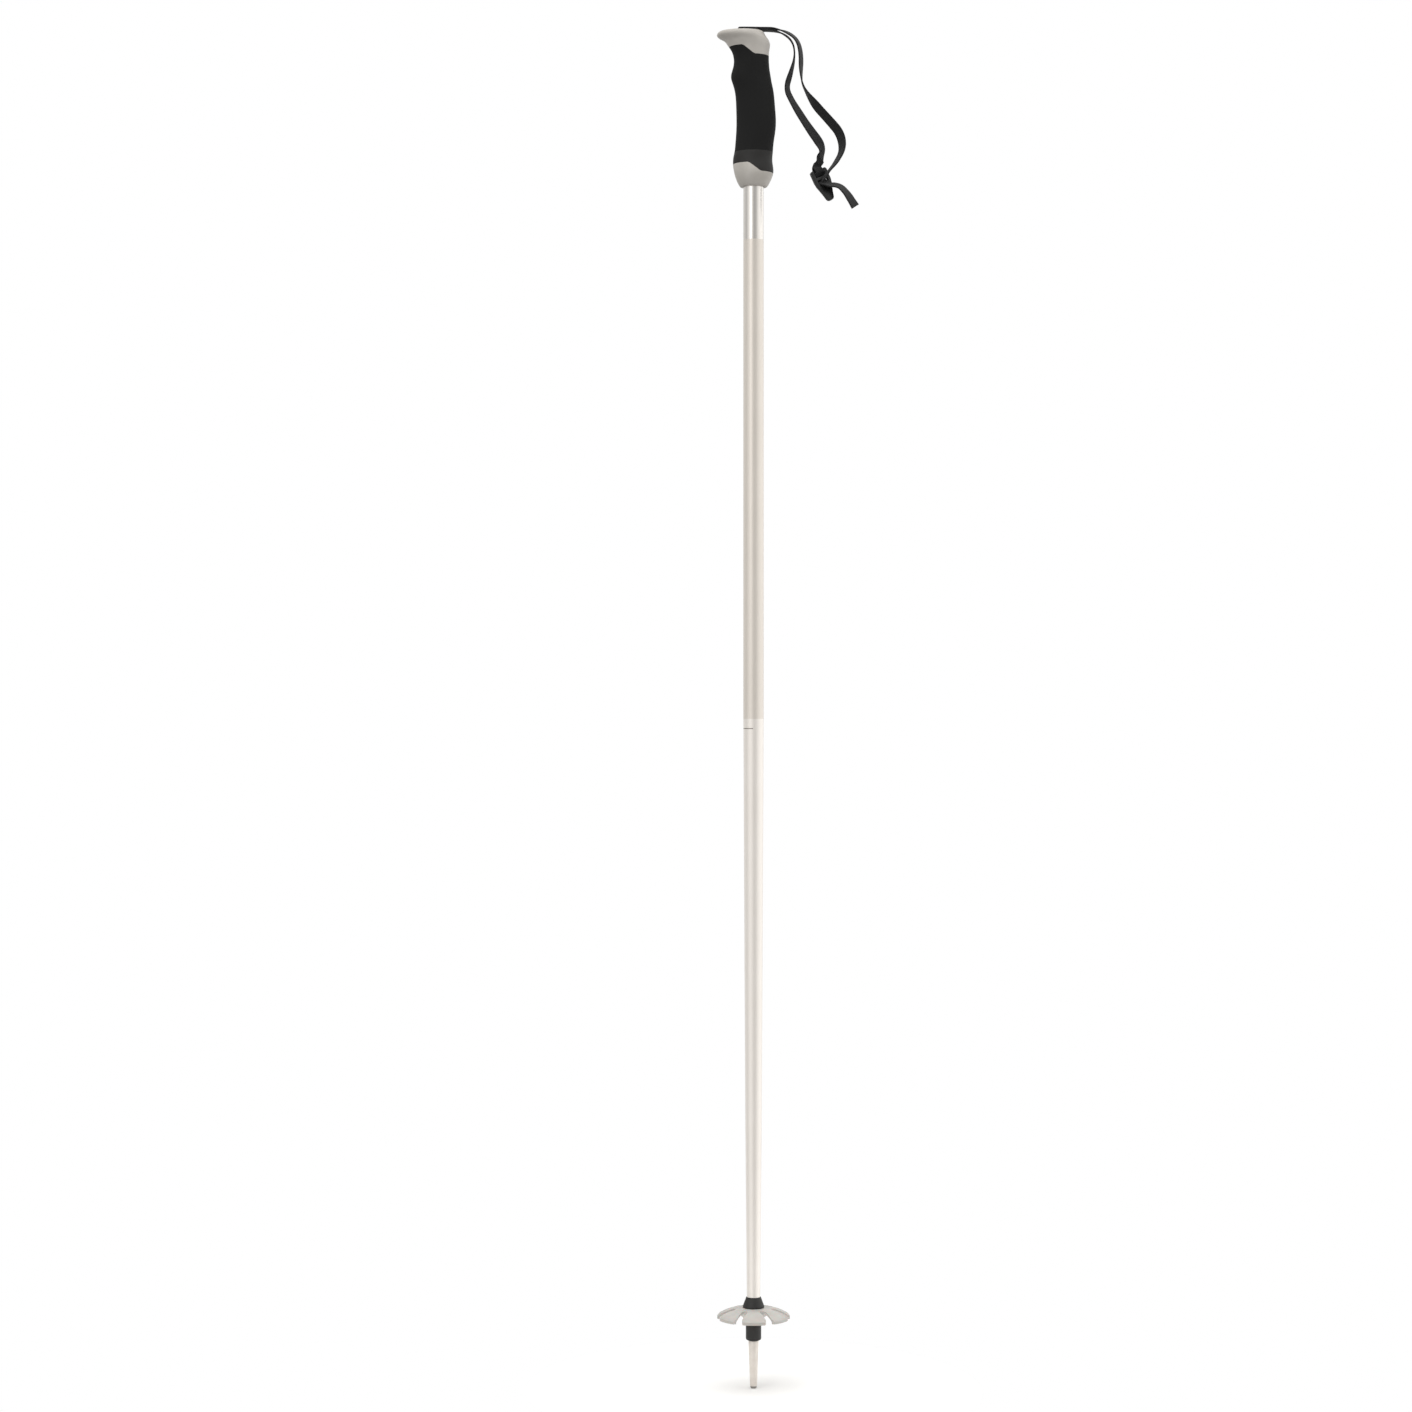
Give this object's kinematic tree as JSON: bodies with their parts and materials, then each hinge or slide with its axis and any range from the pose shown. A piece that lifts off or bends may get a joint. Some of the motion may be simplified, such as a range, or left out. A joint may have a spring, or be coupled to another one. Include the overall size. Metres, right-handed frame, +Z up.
{
  "type": "ski pole",
  "caption": "Tapered tube ski pole with a horned two-material grip, a buckled webbing wrist strap, a slotted snow basket and a metal point.",
  "frame": {"origin": "the ground point under the tip, on the shaft's axis, where the planted tip is held", "axes": "+Z up along the shaft to the grip, -X to the front (the grip's horn), +X to the rear (the wrist strap)"},
  "size_m": [0.126, 0.0637, 1.1995],
  "materials": {
    "shaft_lacquer": "satin pearl lacquer on aluminium",
    "hardened_steel": "ground hardened steel",
    "tip_metal": "fine turned",
    "ferrule_plastic": "moulded nylon",
    "basket_plastic": "moulded polyethylene",
    "grip_plastic": "moulded polypropylene",
    "grip_rubber": "moulded soft rubber",
    "band_rubber": "smooth moulded rubber",
    "webbing": "woven flat webbing",
    "buckle_plastic": "moulded acetal"
  },
  "bodies": {
    "pole": {"shaft_tube": "shaft_lacquer", "tip_insert": "hardened_steel", "tip_cone": "tip_metal", "tip_ferrule": "ferrule_plastic", "grip_core": "ferrule_plastic", "grip_head": "grip_plastic", "grip_sleeve": "grip_rubber", "grip_band": "band_rubber", "grip_collar": "grip_plastic", "strap_wedge": "ferrule_plastic", "strap_anchor": "webbing"},
    "basket": {"snow_basket": "basket_plastic"},
    "strap": {"strap_upper_strand": "webbing", "strap_lower_strand": "webbing"},
    "buckle": {"strap_buckle": "buckle_plastic", "strap_tail": "webbing"}
  },
  "joints": [
    {"name": "strap_swing", "type": "hinge", "parent": "pole", "child": "strap", "pos_m": [0.008, 0, 1.19795], "axis": [0, -1, 0], "range_deg": [0, 120]},
    {"name": "buckle_tilt", "type": "hinge", "parent": "strap", "child": "buckle", "pos_m": [0.057, 0, 1.0725], "axis": [0.828, 0.4226, 0.3686], "range_deg": [-25, 25]},
    {"name": "basket_spin", "type": "hinge", "parent": "pole", "child": "basket", "pos_m": [0, 0, 0.066], "axis": [0, 0, 1], "continuous": true}
  ]
}
